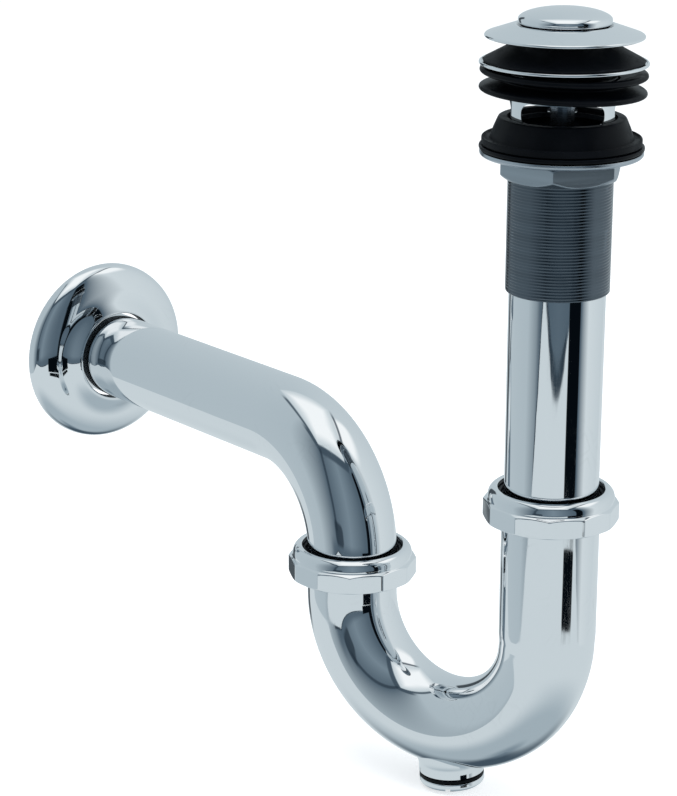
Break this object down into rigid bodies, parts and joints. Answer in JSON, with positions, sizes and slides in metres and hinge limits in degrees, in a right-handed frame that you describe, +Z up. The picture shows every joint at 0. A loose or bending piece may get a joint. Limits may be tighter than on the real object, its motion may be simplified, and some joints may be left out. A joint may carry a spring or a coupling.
{
  "type": "sink trap",
  "caption": "Chrome basin trap: push plug and clamped drain body over a swivelling U-bend with slip nuts and cleanout, and a wall arm with cover plate.",
  "frame": {"origin": "on the drain's axis, in the plane of the basin's surface under the flange", "axes": "+Z up out of the basin along the drain; the wall arm runs level towards -X, so the wall is parallel to YZ; the U-bend's plane is turned 15.8 degrees from XZ about the drain's axis"},
  "size_m": [0.2726, 0.0838, 0.2784],
  "materials": {
    "chrome_cap": "polished chrome plate on brass",
    "chrome_plate": "polished chrome plate on brass",
    "rubber_seal": "matte black",
    "steel_stem": "satin grey",
    "steel_stop": "satin grey",
    "chrome_drain": "polished chrome plate on brass",
    "rubber_upper": "matte black",
    "rubber_lower": "matte black",
    "rubber_ring": "matte black",
    "steel_washer": "satin grey",
    "steel_nut": "satin grey",
    "chrome_tail": "polished chrome plate on brass",
    "rubber_inlet_washer": "matte black",
    "plastic_inlet_ring": "black nylon",
    "chrome_inlet_nut": "polished chrome plate on brass",
    "rubber_outlet_washer": "matte black",
    "plastic_outlet_ring": "black nylon",
    "chrome_outlet_nut": "polished chrome plate on brass",
    "chrome_bend": "polished chrome plate on brass",
    "rubber_cleanout": "matte black",
    "chrome_cleanout": "polished chrome plate on brass",
    "chrome_arm": "polished chrome plate on brass",
    "chrome_cover": "polished chrome plate on brass"
  },
  "bodies": {
    "drain": {"drain_body": "chrome_drain", "upper_gasket": "rubber_upper", "tailpiece": "chrome_tail"},
    "plug": {"dome_cap": "chrome_cap", "stopper_plate": "chrome_plate", "stopper_seal": "rubber_seal", "plug_stem": "steel_stem", "stem_stop": "steel_stop"},
    "clamp": {"lower_gasket": "rubber_lower", "clamp_ring": "rubber_ring", "clamp_washer": "steel_washer"},
    "lock_nut": {"lock_nut": "steel_nut"},
    "inlet_seal": {"inlet_slip_washer": "rubber_inlet_washer"},
    "bend": {"j_bend": "chrome_bend"},
    "inlet_ring": {"inlet_friction_ring": "plastic_inlet_ring"},
    "inlet_nut": {"inlet_slip_nut": "chrome_inlet_nut"},
    "outlet_ring": {"outlet_friction_ring": "plastic_outlet_ring"},
    "outlet_nut": {"outlet_slip_nut": "chrome_outlet_nut"},
    "cleanout_seal": {"cleanout_gasket": "rubber_cleanout"},
    "cleanout": {"cleanout_plug": "chrome_cleanout"},
    "outlet_seal": {"outlet_slip_washer": "rubber_outlet_washer"},
    "arm": {"trap_arm": "chrome_arm"},
    "cover": {"escutcheon": "chrome_cover"}
  },
  "joints": [
    {"name": "plug_lift", "type": "slide", "parent": "drain", "child": "plug", "axis": [0, 0, 1], "range_m": [0, 0.008]},
    {"name": "clamp_travel", "type": "slide", "parent": "drain", "child": "clamp", "axis": [0, 0, 1], "range_m": [-0.03, 0.004]},
    {"name": "lock_nut_turn", "type": "hinge", "parent": "clamp", "child": "lock_nut", "pos_m": [0, 0, -0.033], "axis": [0, 0, 1], "range_deg": [-10800, 1440]},
    {"name": "inlet_slip", "type": "slide", "parent": "drain", "child": "inlet_seal", "axis": [0, 0, 1], "range_m": [-0.02, 0.014]},
    {"name": "inlet_swivel", "type": "hinge", "parent": "inlet_seal", "child": "bend", "pos_m": [0, 0, -0.1466], "axis": [0, 0, 1], "continuous": true},
    {"name": "inlet_nut_travel", "type": "slide", "parent": "bend", "child": "inlet_ring", "axis": [0, 0, 1], "range_m": [0, 0.005]},
    {"name": "inlet_nut_turn", "type": "hinge", "parent": "inlet_ring", "child": "inlet_nut", "pos_m": [0, 0, -0.1476], "axis": [0, 0, 1], "range_deg": [0, 818.18]},
    {"name": "outlet_nut_travel", "type": "slide", "parent": "bend", "child": "outlet_ring", "axis": [0, 0, 1], "range_m": [0, 0.005]},
    {"name": "outlet_nut_turn", "type": "hinge", "parent": "outlet_ring", "child": "outlet_nut", "pos_m": [-0.07755, -0.02195, -0.1846], "axis": [0, 0, 1], "range_deg": [0, 818.18]},
    {"name": "cleanout_travel", "type": "slide", "parent": "bend", "child": "cleanout_seal", "axis": [0.0504, 0.0142, -0.9986], "range_m": [0, 0.004]},
    {"name": "cleanout_turn", "type": "hinge", "parent": "cleanout_seal", "child": "cleanout", "pos_m": [-0.03576, -0.01012, -0.25652], "axis": [0.0504, 0.0142, -0.9986], "range_deg": [0, 960]},
    {"name": "outlet_swivel", "type": "hinge", "parent": "bend", "child": "outlet_seal", "pos_m": [-0.07755, -0.02195, -0.1826], "axis": [0, 0, 1], "range_deg": [-119, 150]},
    {"name": "arm_lift", "type": "slide", "parent": "outlet_seal", "child": "arm", "axis": [0, 0, 1], "range_m": [0, 0.004]},
    {"name": "cover_slide", "type": "slide", "parent": "arm", "child": "cover", "axis": [1, 0, 0], "range_m": [0, 0.095]}
  ],
  "couplings": [
    {"joint": "clamp_travel", "follows": "lock_nut_turn", "m_per_rad": 0.00015915},
    {"joint": "inlet_nut_travel", "follows": "inlet_nut_turn", "m_per_rad": 0.00035014},
    {"joint": "outlet_nut_travel", "follows": "outlet_nut_turn", "m_per_rad": 0.00035014},
    {"joint": "cleanout_travel", "follows": "cleanout_turn", "m_per_rad": 0.00023873}
  ]
}
